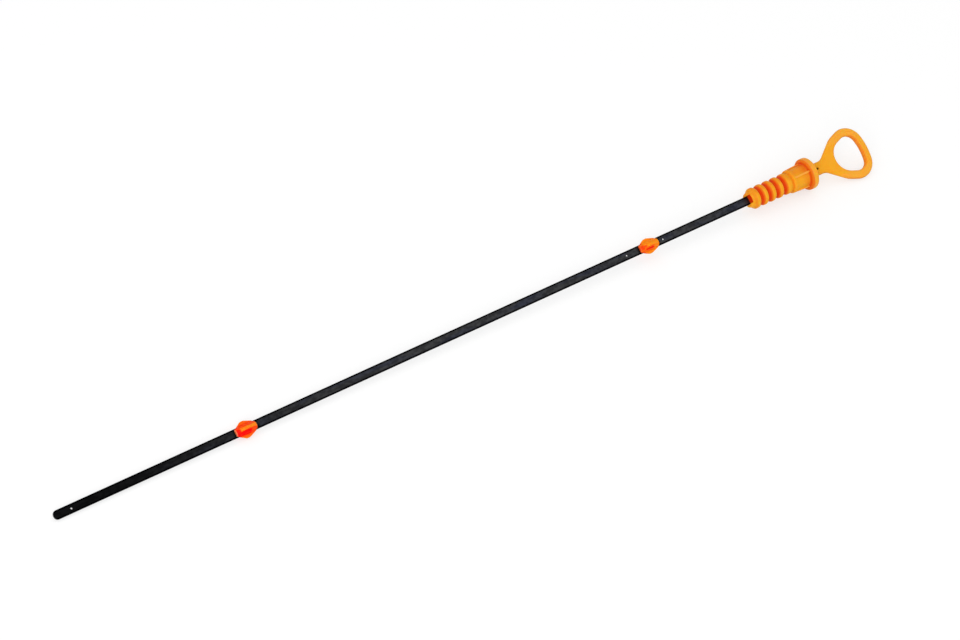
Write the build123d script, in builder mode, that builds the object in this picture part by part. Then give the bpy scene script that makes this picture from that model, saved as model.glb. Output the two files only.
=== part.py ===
"""Engine oil dipstick: a steel blade with two moulded guide beads and a moulded handle.

The pieces are modelled straight. X runs along the blade, from its tip to the finger loop, and X = 0 is
the seat face of the handle's flange. Y lies across the blade's flat side and Z is square to it.
At the end the dipstick is laid on the floor in the way that it comes to rest.
"""
import os
from math import acos, asin, atan2, cos, degrees, hypot, radians, sin, tan

from build123d import *

# Blade: a flat strip of spring steel
blade_width = 4.8
blade_thickness = 0.9
blade_reach = 468.6  # from the seat face to the tip
blade_tail = 12.9  # from the seat face to the end inside the neck
tip_rounding = 0.92  # share of half the width
hanging_hole_diameter = 1.0
hanging_hole_setback = 10.0  # from the tip
key_hole_diameter = 2.4
key_hole_setback = 24.1  # from the seat face, inside the ribs
locating_hole_diameter = 1.0
locating_hole_tip_gap = 8.3  # from the upper bead's end on the tip's side
locating_hole_handle_gap = 3.6  # from the upper bead's end on the handle's side

# Guide beads: a barrel-shaped core between two rounded lips, with four lengthwise fins
upper_bead_setback = 106.1  # from the seat face to the bead's middle
upper_bead_diameter = 8.4  # over the fins
lower_bead_setback = 358.5
lower_bead_diameter = 9.0
bead_length = 12.2
bead_core_diameter = 5.7
bead_lip_diameter = 4.7
bead_lip_length = 1.4
bead_lip_round = 1.1
bead_heel_diameter = 5.6  # over the fins' blunt ends on the handle's side
bead_fin_thickness = 1.4
bead_fin_edge = 0.3
bead_crest_length = 1.7
bead_crest_shift = 0.4  # from the bead's middle toward the tip
bead_crest_round = 1.6

# Ribbed plug of the handle
nose_diameter = 7.7
nose_length = 3.2  # from the nose's end to the first rib's land
nose_shoulder_diameter = 9.5
nose_shoulder_length = 2.0
nose_edge = 0.5
nose_slot_depth = 0.9  # across the nose's end, as wide as the blade
rib_count = 5
rib_pitch = 5.25
rib_diameter = 11.7
rib_height = 1.55
rib_land = 2.0
rib_front_flank = 1.5
rib_back_flank = 1.0
rib_edge = 1.3
rib_root_edge = 0.3

# Tapered body with four lengthwise fins, and the flange
groove_depth = 0.4  # below the ribs' lands
groove_length = 0.97
body_length = 11.0
body_small_diameter = 13.0
body_large_diameter = 14.1
body_collar_length = 1.7
body_edge = 0.7
body_panel_depth = 0.9
body_fin_thickness = 0.9
flange_diameter = 17.8
flange_thickness = 4.1
flange_edge = 1.1
seat_fillet = 0.8  # between the body and the flange

# Neck and finger loop
plate_thickness = 3.4
plate_edge = 1.5
neck_width = 7.2
neck_flare_radius = 6.0
neck_flare_lead = 4.1  # from the start of the flare to the loop's outer arc
pin_hole_diameter = 1.5
pin_hole_setback = 8.9  # from the seat face
loop_bar = 4.7
loop_hole_start = 22.4  # from the seat face
loop_hole_length = 17.2
loop_hole_near_radius = 9.1
loop_hole_corner_radius = 5.4
loop_hole_side_angle = 20.0
loop_far_bow = 2.6


# Blade
with BuildPart() as blade:
    with BuildSketch() as strip:
        with Locations((-blade_reach, 0)):
            Rectangle(blade_reach + blade_tail, blade_width, align=(Align.MIN, Align.CENTER))
        fillet(strip.vertices().group_by(Axis.X)[0], tip_rounding * blade_width / 2)
        with Locations((hanging_hole_setback - blade_reach, 0)):
            Circle(hanging_hole_diameter / 2, mode=Mode.SUBTRACT)
        with Locations((-key_hole_setback, 0)):
            Circle(key_hole_diameter / 2, mode=Mode.SUBTRACT)
        tip_side_hole = upper_bead_setback + bead_length / 2 + locating_hole_tip_gap
        handle_side_hole = upper_bead_setback - bead_length / 2 - locating_hole_handle_gap
        with Locations((-tip_side_hole, 0), (-handle_side_hole, 0)):
            Circle(locating_hole_diameter / 2, mode=Mode.SUBTRACT)
    extrude(amount=blade_thickness / 2, both=True)
blade.part.label = "blade"


def offsets(edge):
    """How far an edge's middle lies from the X-Y and X-Z planes, the smaller distance first."""
    return sorted((abs(edge.center().Y), abs(edge.center().Z)))


def guide_bead(setback, diameter):
    """A turned barrel with a rounded lip at each end, and fins that ramp up to a short crest."""
    start = -setback - bead_length / 2
    end = -setback + bead_length / 2
    core_start = start + bead_lip_length
    core_end = end - bead_lip_length
    crest_start = -setback - bead_crest_shift - bead_crest_length / 2
    crest_end = crest_start + bead_crest_length
    lip = bead_lip_diameter / 2
    heel = bead_heel_diameter / 2
    with BuildPart() as bead:
        for flat in (Plane.XY, Plane.XZ):
            with BuildSketch(flat) as fin:
                with BuildLine():
                    Polyline(
                        (core_start, lip),
                        (crest_start, diameter / 2),
                        (crest_end, diameter / 2),
                        (core_end, heel),
                        (core_end, -heel),
                        (crest_end, -diameter / 2),
                        (crest_start, -diameter / 2),
                        (core_start, -lip),
                        close=True,
                    )
                make_face()
                crest_corners = fin.vertices().filter_by(lambda v: core_start < v.X - 1e-6 < crest_end)
                fillet(crest_corners, bead_crest_round)
            extrude(amount=bead_fin_thickness / 2, both=True)
        outer_edges = bead.edges().filter_by(lambda edge: offsets(edge)[1] > lip)
        fillet(outer_edges.filter_by(lambda edge: offsets(edge)[0] > bead_fin_edge), bead_fin_edge)
        with BuildSketch() as barrel:
            with BuildLine():
                Polyline((core_end, lip), (end, lip), (end, 0), (start, 0), (start, lip), (core_start, lip))
                ThreePointArc((core_start, lip), (-setback, bead_core_diameter / 2), (core_end, lip))
            make_face()
            lip_corners = barrel.vertices().group_by(Axis.X)[0] + barrel.vertices().group_by(Axis.X)[-1]
            fillet(lip_corners.filter_by(lambda v: v.Y > lip / 2), bead_lip_round)
        revolve(axis=Axis.X)
        add(blade.part, mode=Mode.SUBTRACT)
    return bead


# Guide beads, moulded on to the blade
upper_guide_bead = guide_bead(upper_bead_setback, upper_bead_diameter)
upper_guide_bead.part.label = "upper_guide_bead"
lower_guide_bead = guide_bead(lower_bead_setback, lower_bead_diameter)
lower_guide_bead.part.label = "lower_guide_bead"

# Handle: stations of the ribs and the body along X
body_start = -body_length
last_rib_end = body_start - groove_length - rib_back_flank
first_rib_end = last_rib_end - (rib_count - 1) * rib_pitch
nose_start = first_rib_end - rib_land - nose_length
root_radius = rib_diameter / 2 - rib_height
groove_radius = rib_diameter / 2 - groove_depth
panel_start = body_start + body_collar_length
body_taper = (body_large_diameter - body_small_diameter) / 2 / body_length
panel_start_radius = body_small_diameter / 2 + body_taper * body_collar_length

# Outline of the ribbed plug, the body and the flange, from the nose to the flange's back
nose_shoulder = (nose_start + nose_shoulder_length, nose_shoulder_diameter / 2)
plug_outline = [(nose_start, 0), (nose_start, nose_diameter / 2)]
for rib in range(rib_count):
    land_end = first_rib_end + rib * rib_pitch
    front_foot = (land_end - rib_land - rib_front_flank, root_radius)
    next_radius = groove_radius if rib == rib_count - 1 else root_radius
    plug_outline += [
        front_foot if rib else nose_shoulder,
        (land_end - rib_land, rib_diameter / 2),
        (land_end, rib_diameter / 2),
        (land_end + rib_back_flank, next_radius),
    ]
plug_outline += [
    (body_start, groove_radius),
    (body_start, body_small_diameter / 2),
    (panel_start, panel_start_radius),
    (panel_start, panel_start_radius - body_panel_depth),
    (0, body_large_diameter / 2 - body_panel_depth),
    (0, flange_diameter / 2),
    (flange_thickness, flange_diameter / 2),
    (flange_thickness, 0),
]

# Finger hole: a wide arc near the neck, straight sides that spread, and a bowed far bar
near_centre = loop_hole_start + loop_hole_near_radius
sides_meet = near_centre - loop_hole_near_radius / sin(radians(loop_hole_side_angle))
far_middle = loop_hole_start + loop_hole_length
far_corner = far_middle - loop_far_bow
far_half_width = (far_corner - sides_meet) * tan(radians(loop_hole_side_angle))
with BuildSketch() as finger_hole:
    with BuildLine():
        Line((sides_meet, 0), (far_corner, far_half_width))
        ThreePointArc((far_corner, far_half_width), (far_middle, 0), (far_corner, -far_half_width))
        Line((far_corner, -far_half_width), (sides_meet, 0))
    make_face()
    fillet(finger_hole.vertices().sort_by(Axis.X)[0], loop_hole_near_radius)
    fillet(finger_hole.vertices().group_by(Axis.X)[-1], loop_hole_corner_radius)

# Flare from the neck, straight until it is tangent to the loop's outer arc
outer_radius = loop_hole_near_radius + loop_bar
flare_start = near_centre - outer_radius - neck_flare_lead
flare_distance = hypot(near_centre - flare_start, neck_width / 2)
tangent_angle = atan2(neck_width / 2, flare_start - near_centre) - acos(outer_radius / flare_distance)
flare_end = near_centre + outer_radius * cos(tangent_angle)
flare_half_width = outer_radius * sin(tangent_angle)

# Handle, moulded round the blade's upper end
with BuildPart() as handle:
    with BuildSketch() as plate:
        offset(finger_hole.sketch, amount=loop_bar)
        with Locations((flange_thickness / 2, 0)):
            Rectangle(near_centre - flange_thickness / 2, neck_width, align=(Align.MIN, Align.CENTER))
        with BuildLine():
            Polyline(
                (flare_start, neck_width / 2),
                (flare_end, flare_half_width),
                (flare_end, -flare_half_width),
                (flare_start, -neck_width / 2),
                close=True,
            )
        make_face()
        fillet(plate.vertices().group_by(Axis.X)[1], neck_flare_radius)
        add(finger_hole.sketch, mode=Mode.SUBTRACT)
    extrude(amount=plate_thickness / 2, both=True)
    flat_sides = handle.faces().filter_by(Axis.Z)
    fillet(flat_sides.edges(), plate_edge)

    with BuildSketch() as turned:
        with BuildLine():
            Polyline(*plug_outline, close=True)
        make_face()
        rib_corners = turned.vertices().filter_by(lambda v: nose_start < v.X - 1e-6 < last_rib_end)
        fillet(rib_corners.filter_by(lambda v: abs(v.Y - rib_diameter / 2) < 1e-6), rib_edge)
        fillet(rib_corners.filter_by(lambda v: abs(v.Y - root_radius) < 1e-6), rib_root_edge)
        flange_rim = turned.vertices().filter_by(lambda v: abs(v.Y - flange_diameter / 2) < 1e-6)
        fillet(flange_rim, flange_edge)
        nose_rim = turned.vertices().group_by(Axis.X)[0].sort_by(Axis.Y)[-1]
        fillet(nose_rim, nose_edge)
        body_rim = turned.vertices().filter_by(lambda v: abs(v.X - body_start) < 1e-6).sort_by(Axis.Y)[-1]
        fillet(body_rim, body_edge)
        seat_corner = turned.vertices().filter_by(lambda v: abs(v.X) < 1e-6).sort_by(Axis.Y)[0]
        fillet(seat_corner, seat_fillet)
    revolve(axis=Axis.X)
    with Locations((nose_start, 0)):
        slot_align = (Align.MIN, Align.CENTER, Align.CENTER)
        Box(nose_slot_depth, blade_width, rib_diameter, align=slot_align, mode=Mode.SUBTRACT)

    for flat in (Plane.XY, Plane.XZ):
        with BuildSketch(flat):
            with BuildLine():
                Polyline(
                    (panel_start, panel_start_radius),
                    (0, body_large_diameter / 2),
                    (0, -body_large_diameter / 2),
                    (panel_start, -panel_start_radius),
                    close=True,
                )
            make_face()
        extrude(amount=body_fin_thickness / 2, both=True)

    add(blade.part, mode=Mode.SUBTRACT)
    with Locations((pin_hole_setback, 0)):
        Hole(pin_hole_diameter / 2)
handle.part.label = "handle"

# Rest on the floor: the flange's rim, the lower bead's bottom fin and the loop's near corner touch it
hole_arcs = finger_hole.edges().filter_by(GeomType.CIRCLE)
corner = hole_arcs.filter_by(lambda arc: abs(arc.radius - loop_hole_corner_radius) < 1e-6)[0].arc_center
loop_half_width = abs(corner.Y) + loop_hole_corner_radius + loop_bar
roll = 0.0
slope = 0.0
for _ in range(6):
    side, face = loop_half_width - plate_edge, plate_thickness / 2 - plate_edge
    corner_height = flange_diameter / 2 + corner.X * sin(slope) - plate_edge
    roll = asin(corner_height / hypot(side, face)) - atan2(face, side)
    fin_depth = lower_bead_diameter / 2 - bead_fin_edge
    fin_side = bead_fin_thickness / 2 - bead_fin_edge
    bead_height = fin_depth * cos(roll) + fin_side * sin(roll) + bead_fin_edge
    slope = asin((flange_diameter / 2 - bead_height) / (lower_bead_setback + bead_crest_shift))

pieces = (blade, upper_guide_bead, lower_guide_bead, handle)
tilt = Rotation(0, -degrees(slope), 0) * Rotation(degrees(roll), 0, 0)
lying = Compound([tilt * piece.part for piece in pieces]).bounding_box()
rest = Pos(-lying.center().X, -lying.center().Y, -lying.min.Z) * tilt
for piece in pieces:
    piece.part.move(rest)

os.makedirs("parts", exist_ok=True)
export_step(blade.part, "parts/blade.step")
export_step(upper_guide_bead.part, "parts/upper_guide_bead.step")
export_step(lower_guide_bead.part, "parts/lower_guide_bead.step")
export_step(handle.part, "parts/handle.step")
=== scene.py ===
import math
from functools import partial

import bpy
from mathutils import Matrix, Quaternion, Vector

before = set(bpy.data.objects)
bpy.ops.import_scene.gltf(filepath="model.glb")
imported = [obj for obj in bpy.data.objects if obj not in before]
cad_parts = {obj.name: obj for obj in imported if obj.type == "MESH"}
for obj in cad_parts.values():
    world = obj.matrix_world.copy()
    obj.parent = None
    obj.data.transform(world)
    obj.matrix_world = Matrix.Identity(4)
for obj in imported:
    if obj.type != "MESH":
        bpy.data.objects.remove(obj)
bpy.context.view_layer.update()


# Blade
# A long flat strip of spring steel, cropped and rounded at the tip and blackened all over.
# It is rolled lengthwise, so its grain runs along it, and a band along each slit edge of its faces is
# painted dark, as painted shade.
SEAT_CENTRE = (0.212132, 0.0, 0.0089052)
RESTING_TURN = (math.radians(35.27518), math.radians(-0.78869), 0.0)
MILLIMETRE = 0.001
OFF_AXIS = (0.0, 1.0, 1.0)
BLADE_HALF_WIDTH = 2.4
UPPER_BEAD_MIDDLE, LOWER_BEAD_MIDDLE = -106.1, -358.5
STEEL_NEAR_TIP = (0.0066, 0.0068, 0.0072, 1.0)
STEEL_NEAR_HANDLE = (0.048, 0.049, 0.051, 1.0)
STEEL_EDGE_SHADE = (0.0006, 0.0006, 0.0008, 1.0)
STEEL_TEMPER = (0.034, 0.039, 0.060, 1.0)
MOTTLE_SHADE = (0.2, 0.2, 0.22, 1.0)
ROLLED_SHINE = (0.05, 0.05, 0.055, 1.0)
BEAD_SHADE_ON_STEEL = (0.0060, 0.0028, 0.0016, 1.0)
GRAIN_STRETCH, MOTTLE_STRETCH, PATCH_STRETCH = (0.06, 7.0, 7.0), (0.6, 1.0, 1.0), (0.05, 0.3, 0.3)
STEEL_ROUGHNESS, MOTTLE_ROUGHNESS, OIL_GLOSS = 0.3, 0.22, -0.12
MOTTLE_RELIEF, OIL_EDGE_WANDER, PALING_CURVE = 0.4, 90.0, 0.8
# Each of these masks goes from its first limit to its second, and may then give its strength at both.
PALE_TOWARD_HANDLE = (-440.0, -250.0)
OILED_TIP = (-415.0, -330.0, 1.0, 0.0)
TEMPER_PATCHES = (0.45, 0.7, 0.0, 0.8)
MOTTLE_MARKS = (0.38, 0.62, 0.0, 0.6)
ROLLED_LINES = (0.5, 0.75, 0.0, 0.3)
BESIDE_BEAD = (8.2, 6.2, 0.0, 0.85)
EDGE_SHADE_BAND = (BLADE_HALF_WIDTH - 1.05, BLADE_HALF_WIDTH - 0.6)


def put(tree, kind, sockets=None, **settings):
    """Adds one shader node, sets its options and gives each named socket its value or its link."""
    node = tree.nodes.new(kind)
    for name, value in settings.items():
        setattr(node, name, value)
    for socket, value in (sockets or {}).items():
        if isinstance(value, bpy.types.NodeSocket):
            tree.links.new(value, node.inputs[socket])
        else:
            node.inputs[socket].default_value = value
    return node


def sums(tree, operation, first, second=0.0, third=0.0):
    """One step of arithmetic on one, two or three values."""
    return put(tree, "ShaderNodeMath", {0: first, 1: second, 2: third}, operation=operation).outputs[0]


def ramp(tree, value, low, high, start=0.0, end=1.0):
    """A smooth step that goes from start to end while value goes from low to high."""
    sockets = {"Value": value, "From Min": low, "From Max": high, "To Min": start, "To Max": end}
    node = put(tree, "ShaderNodeMapRange", sockets, interpolation_type="SMOOTHSTEP")
    return node.outputs["Result"]


def tint(tree, share, first, second, blend="MIX"):
    """A colour that goes from first to second as share goes from 0 to 1."""
    sockets = {0: share, 6: first, 7: second}
    return put(tree, "ShaderNodeMix", sockets, data_type="RGBA", blend_type=blend).outputs[2]


def cloud(tree, vector, scale=1.0, detail=2.0, roughness=0.5):
    """Fractal noise from 0 to 1, with scale features to a unit of vector."""
    sockets = {"Vector": vector, "Scale": scale, "Detail": detail, "Roughness": roughness}
    return put(tree, "ShaderNodeTexNoise", sockets).outputs["Fac"]


def product(tree, *values):
    """All the values multiplied together."""
    total = values[0]
    for value in values[1:]:
        total = sums(tree, "MULTIPLY", total, value)
    return total


def distance(tree, value, middle=0.0):
    """How far a value lies from the middle, on either side of it."""
    return sums(tree, "ABSOLUTE", sums(tree, "SUBTRACT", value, middle))


def stretched(tree, vector, factors):
    """The same coordinates, each multiplied by its own factor."""
    return put(tree, "ShaderNodeVectorMath", {0: vector, 1: factors}, operation="MULTIPLY").outputs[0]


def straight_frame():
    """Coordinates in mm on the dipstick's own axes: along it from the seat, across the blade and
    square to it, with the distance from the axis and the way that the surface faces on those axes."""
    group = bpy.data.node_groups.new("straight_frame", "ShaderNodeTree")
    for name, kind in (("Straight", "Vector"), ("Along", "Float"), ("Across", "Float"), ("Square", "Float"),
                       ("Radius", "Float"), ("Facing", "Vector")):
        group.interface.new_socket(name, in_out="OUTPUT", socket_type="NodeSocket" + kind)
    out = group.nodes.new("NodeGroupOutput")
    place = put(group, "ShaderNodeTexCoord")
    turned = {"Vector": place.outputs["Object"], "Location": SEAT_CENTRE, "Rotation": RESTING_TURN,
              "Scale": (MILLIMETRE,) * 3}
    straight = put(group, "ShaderNodeMapping", turned, vector_type="TEXTURE").outputs[0]
    way = {"Vector": place.outputs["Normal"], "Rotation": RESTING_TURN}
    facing = put(group, "ShaderNodeMapping", way, vector_type="TEXTURE").outputs[0]
    parts = put(group, "ShaderNodeSeparateXYZ", {0: straight}).outputs
    around = stretched(group, straight, OFF_AXIS)
    radius = put(group, "ShaderNodeVectorMath", {0: around}, operation="LENGTH").outputs["Value"]
    for name, socket in (("Straight", straight), ("Along", parts[0]), ("Across", parts[1]),
                         ("Square", parts[2]), ("Radius", radius), ("Facing", facing)):
        group.links.new(socket, out.inputs[name])
    return group


def new_material(name):
    """An empty material with a Principled shader, and its tree."""
    material = bpy.data.materials.new(name)
    material.use_nodes = True
    tree = material.node_tree
    return material, tree, tree.nodes["Principled BSDF"]


def dress(node_name, material):
    """Gives a CAD node the material in place of its plain one."""
    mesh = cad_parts[node_name].data
    mesh.materials.clear()
    mesh.materials.append(material)


STRAIGHT_FRAME = straight_frame()

blackened_steel, tree, shader = new_material("blackened_steel")
own = put(tree, "ShaderNodeGroup", node_tree=STRAIGHT_FRAME).outputs
straight, along, across = own["Straight"], own["Along"], own["Across"]
rolled = cloud(tree, stretched(tree, straight, GRAIN_STRETCH), detail=3.0, roughness=0.6)
mottle = cloud(tree, stretched(tree, straight, MOTTLE_STRETCH), scale=0.6, detail=4.0, roughness=0.65)
patches = cloud(tree, stretched(tree, straight, PATCH_STRETCH))
oily = ramp(tree, sums(tree, "MULTIPLY_ADD", patches, OIL_EDGE_WANDER, along), *OILED_TIP)
toward_handle = sums(tree, "POWER", ramp(tree, along, *PALE_TOWARD_HANDLE), PALING_CURVE)
tempered = product(tree, ramp(tree, patches, *TEMPER_PATCHES), toward_handle)
shiny = product(tree, ramp(tree, rolled, *ROLLED_LINES), toward_handle)
steel = tint(tree, toward_handle, STEEL_NEAR_TIP, STEEL_NEAR_HANDLE)
steel = tint(tree, tempered, steel, STEEL_TEMPER)
steel = tint(tree, ramp(tree, mottle, *MOTTLE_MARKS), steel, MOTTLE_SHADE, "MULTIPLY")
steel = tint(tree, shiny, steel, ROLLED_SHINE, "ADD")
# Painted shade and a painted brown reflection of the bead, on the steel beside each bead.
for middle in (UPPER_BEAD_MIDDLE, LOWER_BEAD_MIDDLE):
    steel = tint(tree, ramp(tree, distance(tree, along, middle), *BESIDE_BEAD), steel, BEAD_SHADE_ON_STEEL)
# Painted shade: a dark band along each edge of the blade's faces.
steel = tint(tree, ramp(tree, distance(tree, across), *EDGE_SHADE_BAND), steel, STEEL_EDGE_SHADE)
tree.links.new(steel, shader.inputs["Base Color"])
matt = sums(tree, "MULTIPLY_ADD", mottle, MOTTLE_ROUGHNESS, STEEL_ROUGHNESS)
tree.links.new(sums(tree, "MULTIPLY_ADD", oily, OIL_GLOSS, matt), shader.inputs["Roughness"])
shader.inputs["Metallic"].default_value = 1.0
relief = sums(tree, "MULTIPLY_ADD", mottle, MOTTLE_RELIEF, rolled)
bump = put(tree, "ShaderNodeBump", {"Strength": 0.25, "Distance": 0.00004, "Height": relief})
tree.links.new(bump.outputs[0], shader.inputs["Normal"])
dress("blade", blackened_steel)


# Guide beads
# Two barrels of moulded plastic with four fins each, which keep the blade off the wall of its tube.
# They are moulded straight onto the blade. The lower one is painted redder, as painted shade for the dimmer
# light toward the tip.

# Lit is each bead's colour, and the other colour is its copy in painted shade. Pocket, shade and tip say how
# much painted shade those places get, and lip how strong the painted highlight on the rims is. Reach is how
# far the painted shade goes from a fin, and steep is how far a face looks toward the tip when it is painted
# shaded.
BEADS = {
    "upper_guide_bead": {
        "slot": "orange_plastic", "lit": (0.94, 0.30, 0.004, 1.0), "shaded_colour": (0.88, 0.03, 0.0, 1.0),
        "middle": UPPER_BEAD_MIDDLE, "pocket": 0.25, "reach": (3.2, 2.0), "shade": 0.4,
        "tip": 0.9, "steep": (-0.15, -0.55), "lip": 0.25,
    },
    "lower_guide_bead": {
        "slot": "red_orange_plastic", "lit": (0.97, 0.235, 0.005, 1.0), "shaded_colour": (0.90, 0.001, 0.0, 1.0),
        "middle": LOWER_BEAD_MIDDLE, "pocket": 0.75, "reach": (2.6, 1.2), "shade": 0.3,
        "tip": 0.95, "steep": (-0.5, -0.9), "lip": 1.0,
    },
}
BEAD_HALF_LENGTH, FIN_HALF_WIDTH = 6.1, 0.7
BESIDE_FIN = (FIN_HALF_WIDTH - 0.1, FIN_HALF_WIDTH + 0.1)
# Painted light: on the upper side the foot of the top and bottom fins is painted pale.
PALE_FOOT_START, PALE_FOOT_END, PALE_FOOT_WIDTH = (0.0, 0.6), (2.0, 1.3), 0.5
LOWER_SIDE, SHADE_END = (0.8, -0.8), (3.4, 1.0)
# A slit of painted shade beside the top and bottom fins.
SLIT_INNER_EDGE = (FIN_HALF_WIDTH + 0.4, FIN_HALF_WIDTH + 0.7)
SLIT_OUTER_EDGE = (FIN_HALF_WIDTH + 1.5, FIN_HALF_WIDTH + 1.0)
SLIT_MIDDLE, SLIT_REACH = -0.5, (3.2, 1.4)
OFF_CREST = (0.8, 0.5)
TIP_HALF, TIP_END, TIP_SPREAD = (-1.6, -3.0), (-3.0, -4.2), (0.7, 1.9, 1.0, 0.5)
OUTER_FLANK = (2.6, 4.0, 1.0, 0.5)
# Painted highlight on the rims of the lips.
LIP_RIM = (BEAD_HALF_LENGTH - 0.5, BEAD_HALF_LENGTH - 0.15)
# Painted shade at the bead's ends, where they meet the blade.
BEAD_END_SHADE = (BEAD_HALF_LENGTH - 0.15, BEAD_HALF_LENGTH, 0.0, 0.8)
SLOT_SHADE = (0.85, 0.1, 0.6, 1.0)
FLOW_SHADE = (0.90, 0.84, 0.72, 1.0)
PIT_SHADE = (0.35, 0.30, 0.28, 1.0)
# The pale tone of rubbed wear and painted highlight.
RUBBED_AND_HIGHLIGHT_TONE = (1.0, 0.46, 0.20, 1.0)
# The tone of painted shade along edges.
EDGE_SHADE_TONE = (0.80, 0.72, 0.45, 1.0)
FLOW_STRETCH = (0.12, 0.6, 0.6)
FLOW_MARKS, SKIN_PITS, RUBBED_AND_HIGHLIGHT_SPOTS = (0.52, 0.8, 0.0, 0.16), (0.2, 0.5, 0.08, 0.0), (0.3, 0.6, 0.5, 1.0)
PARTING_LINE = (0.14, 0.05)
DYE_SPREAD, DYE_RELIEF, RUBBED_AND_HIGHLIGHT_SHARE = 0.2, 0.8, 0.6
PLASTIC_ROUGHNESS, SKIN_ROUGHNESS, RUBBED_GLOSS = 0.38, 0.16, -0.10
GLOW_RADIUS = (1.0, 0.25, 0.04)


def moulded_plastic():
    """Dyed plastic as it leaves the mould: uneven dye, a fine matt skin, and paler high spots that are
    partly rubbed wear and partly painted highlight. Painted shade goes from 0 on open faces to 1 in pockets
    and on shaded flanks, where the plastic takes its redder shaded colour, and to 2 in narrow slots, where
    it is also painted dark. A third mask paints shade along edges."""
    group = bpy.data.node_groups.new("moulded_plastic", "ShaderNodeTree")
    for name, kind in (("Straight", "Vector"), ("Lit", "Color"), ("Shade_colour", "Color"), ("Depth", "Float"),
                       ("Rubbed_and_highlit", "Float"), ("Edge_shade", "Float")):
        group.interface.new_socket(name, in_out="INPUT", socket_type="NodeSocket" + kind)
    for name, kind in (("Colour", "Color"), ("Roughness", "Float"), ("Relief", "Float")):
        group.interface.new_socket(name, in_out="OUTPUT", socket_type="NodeSocket" + kind)
    given = group.nodes.new("NodeGroupInput").outputs
    out = group.nodes.new("NodeGroupOutput").inputs
    dye = cloud(group, given["Straight"], scale=0.22, detail=3.0, roughness=0.55)
    skin = cloud(group, given["Straight"], scale=3.2, detail=3.0, roughness=0.6)
    flow = cloud(group, stretched(group, given["Straight"], FLOW_STRETCH), detail=3.0)
    dye_and_shade = sums(group, "MULTIPLY_ADD", sums(group, "SUBTRACT", dye, 0.5), DYE_SPREAD, given["Depth"])
    painted_slot_shade = sums(group, "SUBTRACT", given["Depth"], 1.0)
    worn_and_highlit = product(group, given["Rubbed_and_highlit"], ramp(group, skin, *RUBBED_AND_HIGHLIGHT_SPOTS))
    # Painted shade: from the lit colour to its shaded copy, and painted dark in slots.
    colour = tint(group, dye_and_shade, given["Lit"], given["Shade_colour"])
    colour = tint(group, painted_slot_shade, colour, SLOT_SHADE, "MULTIPLY")
    colour = tint(group, ramp(group, flow, *FLOW_MARKS), colour, FLOW_SHADE, "MULTIPLY")
    colour = tint(group, ramp(group, skin, *SKIN_PITS), colour, PIT_SHADE, "MULTIPLY")
    # Paler spots: rubbed wear, and painted highlight.
    colour = tint(group, product(group, worn_and_highlit, RUBBED_AND_HIGHLIGHT_SHARE), colour, RUBBED_AND_HIGHLIGHT_TONE)
    # Painted shade along edges.
    colour = tint(group, given["Edge_shade"], colour, EDGE_SHADE_TONE, "MULTIPLY")
    group.links.new(colour, out["Colour"])
    matt = sums(group, "MULTIPLY_ADD", skin, SKIN_ROUGHNESS, PLASTIC_ROUGHNESS)
    group.links.new(sums(group, "MULTIPLY_ADD", worn_and_highlit, RUBBED_GLOSS, matt), out["Roughness"])
    square = put(group, "ShaderNodeSeparateXYZ", {0: given["Straight"]}).outputs[2]
    parting = ramp(group, distance(group, square), *PARTING_LINE)
    relief = sums(group, "MULTIPLY_ADD", dye, DYE_RELIEF, skin)
    group.links.new(sums(group, "ADD", relief, parting), out["Relief"])
    return group


MOULDED_PLASTIC = moulded_plastic()


def plastic(name, lit, shaded_colour, shading_of, rubbed_and_highlit_of, edge_shade_of):
    """A plastic finish from its lit colour and its copy in painted shade, and from functions for its painted
    shade, its rubbed wear and painted highlight, and its painted shade along edges.
    """
    material, tree, shader = new_material(name)
    own = put(tree, "ShaderNodeGroup", node_tree=STRAIGHT_FRAME).outputs
    sockets = {"Straight": own["Straight"], "Lit": lit, "Shade_colour": shaded_colour, "Depth": shading_of(tree, own),
               "Rubbed_and_highlit": rubbed_and_highlit_of(tree, own), "Edge_shade": edge_shade_of(tree, own)}
    skin = put(tree, "ShaderNodeGroup", sockets, node_tree=MOULDED_PLASTIC).outputs
    tree.links.new(skin["Colour"], shader.inputs["Base Color"])
    tree.links.new(skin["Roughness"], shader.inputs["Roughness"])
    bump = put(tree, "ShaderNodeBump", {"Strength": 0.2, "Distance": 0.00008, "Height": skin["Relief"]})
    tree.links.new(bump.outputs[0], shader.inputs["Normal"])
    shader.inputs["Specular IOR Level"].default_value = 0.08
    shader.inputs["Subsurface Weight"].default_value = 0.4
    shader.inputs["Subsurface Radius"].default_value = GLOW_RADIUS
    shader.inputs["Subsurface Scale"].default_value = MILLIMETRE
    return material


def highest(tree, *values):
    """The largest of the values."""
    total = values[0]
    for value in values[1:]:
        total = sums(tree, "MAXIMUM", total, value)
    return total


def facing_along(tree, own):
    """From -1, where the surface looks toward the tip, to 1, where it looks toward the finger loop."""
    return put(tree, "ShaderNodeSeparateXYZ", {0: own["Facing"]}).outputs[0]


def from_fin(tree, own):
    """How far a point lies from the nearer of the two planes of fins."""
    return sums(tree, "MINIMUM", distance(tree, own["Across"]), distance(tree, own["Square"]))


def outward(tree, own):
    """1 where the surface looks straight away from the axis, 0 where it looks along it or round it."""
    around = stretched(tree, own["Straight"], OFF_AXIS)
    away = put(tree, "ShaderNodeVectorMath", {0: around}, operation="NORMALIZE").outputs[0]
    match = put(tree, "ShaderNodeVectorMath", {0: away, 1: own["Facing"]}, operation="DOT_PRODUCT")
    return match.outputs["Value"]


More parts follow.
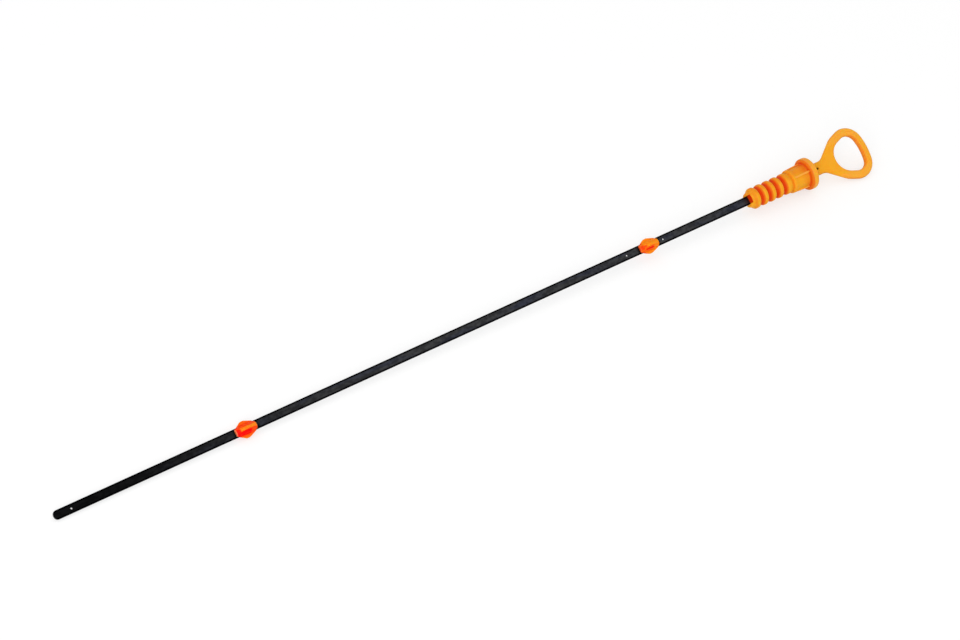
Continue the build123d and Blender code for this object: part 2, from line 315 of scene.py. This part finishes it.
def bead_shading(size, tree, own):
    """Painted shade between the fins and toward the tip, most on the side that is lower as it lies, where a
    slit of painted shade runs beside the top and bottom fins. On the upper side the fins' foot is painted
    pale, as painted light."""
    across, fin_gap, from_top_fin = own["Across"], from_fin(tree, own), distance(tree, own["Across"])
    from_middle = sums(tree, "SUBTRACT", own["Along"], size["middle"])
    pale_foot = product(tree, ramp(tree, across, *PALE_FOOT_START), ramp(tree, across, *PALE_FOOT_END))
    past_foot = sums(tree, "MULTIPLY_ADD", pale_foot, -PALE_FOOT_WIDTH, fin_gap)
    shaded = product(tree, ramp(tree, across, *LOWER_SIDE), ramp(tree, fin_gap, *size["reach"]),
                     ramp(tree, from_middle, *SHADE_END))
    slit = product(tree, ramp(tree, from_top_fin, *SLIT_INNER_EDGE),
                   ramp(tree, from_top_fin, *SLIT_OUTER_EDGE),
                   ramp(tree, distance(tree, from_middle, SLIT_MIDDLE), *SLIT_REACH))
    shade = sums(tree, "ADD", slit, size["shade"])
    pocket = product(tree, ramp(tree, past_foot, *BESIDE_FIN),
                     sums(tree, "MULTIPLY_ADD", shaded, shade, size["pocket"]))
    off_crest = product(tree, ramp(tree, outward(tree, own), *OFF_CREST, 0.0, size["pocket"]),
                        sums(tree, "SUBTRACT", 1.0, pale_foot))
    toward_tip = product(tree, ramp(tree, facing_along(tree, own), *size["steep"]),
                         ramp(tree, from_middle, *TIP_HALF))
    tip_side = product(tree, highest(tree, toward_tip, ramp(tree, from_middle, *TIP_END)),
                       ramp(tree, fin_gap, *TIP_SPREAD), size["tip"])
    return product(tree, highest(tree, pocket, off_crest, tip_side), ramp(tree, from_top_fin, *OUTER_FLANK))


def bead_lip_highlight(size, tree, own):
    """A painted highlight on the rims of the two lips."""
    return ramp(tree, distance(tree, own["Along"], size["middle"]), *LIP_RIM, 0.0, size["lip"])


def bead_end_shade(size, tree, own):
    """Painted shade at the ends, where they meet the blade."""
    return ramp(tree, distance(tree, own["Along"], size["middle"]), *BEAD_END_SHADE)


for bead, size in BEADS.items():
    masks = [partial(mask, size) for mask in (bead_shading, bead_lip_highlight, bead_end_shade)]
    dress(bead, plastic(size["slot"], size["lit"], size["shaded_colour"], *masks))


# Handle
# One moulding in amber plastic: a plug of five ribs with a nose, a tapered body with fins, a stop flange,
# and a flat neck that widens into the finger loop. The blade's tail is held inside it.
# The handle's lit colour and its copy in painted shade, which the masks below paint in.
HANDLE_LIT = (0.87, 0.385, 0.016, 1.0)
HANDLE_SHADED = (0.73, 0.054, 0.0, 1.0)
NOSE_END, SLOT_FLOOR, PLUG_END, RIB_RADIUS = -39.17, -38.27, -11.0, 5.85
PANEL_START, PANEL_TOP, BODY_RADIUS, FLANGE_RADIUS, LOOP_START = -9.3, 6.3, 7.0, 8.9, 20.0
FACING_TIP = (-0.1, -0.6)
IN_PLUG, PAST_NOSE = (PLUG_END, PLUG_END - 0.3), (NOSE_END + 0.9, NOSE_END + 5.0, 0.08, 1.0)
RIB_VALLEY = (RIB_RADIUS - 0.5, RIB_RADIUS - 1.45)
RIB_FLANK, FLANK_CURVE = (RIB_RADIUS - 0.2, RIB_RADIUS - 1.1, 0.6, 1.0), 1.3
SLOT_SIDES = (BLADE_HALF_WIDTH + 0.1, BLADE_HALF_WIDTH - 0.1)
SLOT_MOUTH, SLOT_SHADING = (SLOT_FLOOR + 0.15, SLOT_FLOOR + 0.05), 1.35
GROOVE_START, GROOVE_END = (PLUG_END - 1.2, PLUG_END - 0.9), (PLUG_END + 0.6, PLUG_END)
GROOVE_SHADING = 0.3
BODY_START, PANEL_END, FIN_END = (PANEL_START - 0.2, PANEL_START), (0.3, 0.1), (0.0, -0.5)
PANEL_FLOOR, PANEL_SHADE_GROWS = (PANEL_TOP + 0.2, PANEL_TOP), (-6.0, -0.5, 0.0, 0.35)
UPPER_SIDE, UPPER_SIDE_END = (-1.0, 3.0, 0.0, 0.28), (4.0, 0.0)
SEAT_START, SEAT_END, SEAT_FACING = (-1.2, -0.1), (1.2, 0.8), (0.0, -0.35)
SEAT_CORNER = (BODY_RADIUS + 1.2, BODY_RADIUS, 0.62, 0.9)
FAR_WALL = (LOOP_START, LOOP_START + 8.0, 0.0, 0.45)
# Painted highlight along the crest of the body's fins.
FIN_CREST, FIN_HIGHLIGHT = (PANEL_TOP, PANEL_TOP + 0.3), 0.45
FLANGE_RIM = (FLANGE_RADIUS - 0.3, FLANGE_RADIUS, 0.0, 0.2)
RUBBED_LOOP = (LOOP_START, LOOP_START + 10.0, 0.0, 0.1)
ROUNDED_EDGE, PAST_FLANGE = (0.8, 0.2), (4.5, 5.5)


def facing_tip(tree, own):
    """1 where the surface looks toward the tip, 0 where it looks away from it or outward."""
    return ramp(tree, facing_along(tree, own), *FACING_TIP)


def handle_shading(tree, own):
    """Painted shade on the ribs' flanks toward the tip and between the ribs, in the groove behind them, on
    the body's upper side as a painted shadow of the flange, on its panels near the flange, on the flange's
    seat and on the far bar's inner wall, and most of all, painted dark, in the slot of the nose."""
    along, radius, tip_side = own["Along"], own["Radius"], facing_tip(tree, own)
    flank = product(tree, sums(tree, "POWER", tip_side, FLANK_CURVE), ramp(tree, radius, *RIB_FLANK))
    ribs = product(tree, highest(tree, flank, ramp(tree, radius, *RIB_VALLEY)),
                   ramp(tree, along, *IN_PLUG), ramp(tree, along, *PAST_NOSE))
    slot = product(tree, ramp(tree, distance(tree, own["Across"]), *SLOT_SIDES),
                   ramp(tree, along, *SLOT_MOUTH), tip_side, SLOT_SHADING)
    groove = product(tree, ramp(tree, along, *GROOVE_START), ramp(tree, along, *GROOVE_END), GROOVE_SHADING)
    panel = product(tree, ramp(tree, along, *BODY_START), ramp(tree, along, *PANEL_END),
                    ramp(tree, radius, *PANEL_FLOOR), ramp(tree, along, *PANEL_SHADE_GROWS))
    upper_side = product(tree, ramp(tree, own["Across"], *UPPER_SIDE), ramp(tree, along, *UPPER_SIDE_END))
    seat = product(tree, ramp(tree, along, *SEAT_START), ramp(tree, along, *SEAT_END),
                   ramp(tree, radius, *SEAT_CORNER), ramp(tree, facing_along(tree, own), *SEAT_FACING))
    wall = product(tree, ramp(tree, along, *FAR_WALL), tip_side)
    return highest(tree, ribs, slot, groove, sums(tree, "ADD", panel, upper_side), seat, wall)


def handle_rubbed_and_highlit(tree, own):
    """A painted highlight along the body's fins, and wear on the flange's rim and the finger loop, which
    hands and the tube rub.
    """
    fin = product(tree, ramp(tree, own["Along"], *BODY_START), ramp(tree, own["Along"], *FIN_END),
                  ramp(tree, own["Radius"], *FIN_CREST), FIN_HIGHLIGHT)
    rim = ramp(tree, own["Radius"], *FLANGE_RIM)
    return highest(tree, fin, rim, ramp(tree, own["Along"], *RUBBED_LOOP))


def handle_edge_shade(tree, own):
    """Painted shade on the rounded edges of the neck and the loop, but not the far bar's inner wall."""
    square = put(tree, "ShaderNodeSeparateXYZ", {0: own["Facing"]}).outputs[2]
    edge = ramp(tree, distance(tree, square), *ROUNDED_EDGE)
    not_wall = sums(tree, "SUBTRACT", 1.0, facing_tip(tree, own))
    return product(tree, edge, not_wall, ramp(tree, own["Along"], *PAST_FLANGE))


dress("handle", plastic("amber_plastic", HANDLE_LIT, HANDLE_SHADED, handle_shading, handle_rubbed_and_highlit, handle_edge_shade))


# Table top
# A plain white sheet of laminate under the dipstick, far wider than the view.
# It glows a little to the camera, so that it shows white and keeps only the soft shadow.
TABLE_SIZE, FLECKS_TO_A_METRE = 8.0, 30.0
LAMINATE_DARK, LAMINATE_PALE = (0.75, 0.75, 0.75, 1.0), (0.77, 0.77, 0.77, 1.0)
LAMINATE_SEEN, LAMINATE_GLOW = (0.40, 0.40, 0.40, 1.0), 0.61
WHITE = (1.0, 1.0, 1.0, 1.0)


def seen_rays(tree):
    """1 for what the camera sees, straight or by way of a shiny or clear surface, and 0 for other light."""
    rays = put(tree, "ShaderNodeLightPath").outputs
    return highest(tree, rays["Is Camera Ray"], rays["Is Glossy Ray"], rays["Is Transmission Ray"])


bpy.ops.mesh.primitive_plane_add(size=TABLE_SIZE)
table = bpy.context.object
table.name = "table_top"
white_laminate, tree, shader = new_material("white_laminate")
place = put(tree, "ShaderNodeTexCoord").outputs["Object"]
seen = seen_rays(tree)
shade = tint(tree, cloud(tree, place, FLECKS_TO_A_METRE), LAMINATE_DARK, LAMINATE_PALE)
tree.links.new(tint(tree, seen, shade, LAMINATE_SEEN), shader.inputs["Base Color"])
shader.inputs["Roughness"].default_value = 0.8
shader.inputs["Specular IOR Level"].default_value = 0.1
shader.inputs["Emission Color"].default_value = WHITE
tree.links.new(product(tree, seen, LAMINATE_GLOW), shader.inputs["Emission Strength"])
table.data.materials.append(white_laminate)


# Studio light
# A white room all round, and a wide soft lamp before the tip, beside the camera, which leaves little shade.
ROOM_LIGHT = 0.83
LAMP_PLACE, LAMP_AIM, LAMP_SIZE, LAMP_POWER = (-1.0, -1.1, 0.9), (0.1, 0.0, 0.0), 1.0, 12.0
room = bpy.data.worlds.new("white_room")
room.use_nodes = True
bpy.context.scene.world = room
tree = room.node_tree
backdrop = tree.nodes["Background"].inputs
strength = sums(tree, "MULTIPLY_ADD", seen_rays(tree), 1.0 - ROOM_LIGHT, ROOM_LIGHT)
tree.links.new(strength, backdrop["Strength"])
backdrop["Color"].default_value = WHITE
lamp = bpy.data.objects.new("soft_lamp", bpy.data.lights.new("soft_lamp", "AREA"))
lamp.data.shape = "DISK"
lamp.data.size = LAMP_SIZE
lamp.data.energy = LAMP_POWER
lamp.location = LAMP_PLACE
lamp.rotation_mode = "QUATERNION"
lamp.rotation_quaternion = (Vector(LAMP_AIM) - Vector(LAMP_PLACE)).to_track_quat("-Z", "Y")
bpy.context.scene.collection.objects.link(lamp)


# Camera
# A long lens that looks down on the dipstick from beyond its tip and to one side, rolled a little.
CAMERA_PLACE, CAMERA_AIM = (-0.82709, -1.08761, 1.22089), (-0.00415, -0.00114, 0.009)
CAMERA_ROLL, CAMERA_LENS, SENSOR_WIDTH = math.radians(2.8478), 132.671, 36.0
camera = bpy.data.objects.new("camera", bpy.data.cameras.new("camera"))
camera.data.lens = CAMERA_LENS
camera.data.sensor_width = SENSOR_WIDTH
camera.data.sensor_fit = "HORIZONTAL"
camera.location = CAMERA_PLACE
camera.rotation_mode = "QUATERNION"
aim = (Vector(CAMERA_AIM) - Vector(CAMERA_PLACE)).to_track_quat("-Z", "Y")
camera.rotation_quaternion = aim @ Quaternion((0.0, 0.0, 1.0), CAMERA_ROLL)
bpy.context.scene.collection.objects.link(camera)
bpy.context.scene.camera = camera
bpy.context.scene.view_settings.view_transform = "Standard"
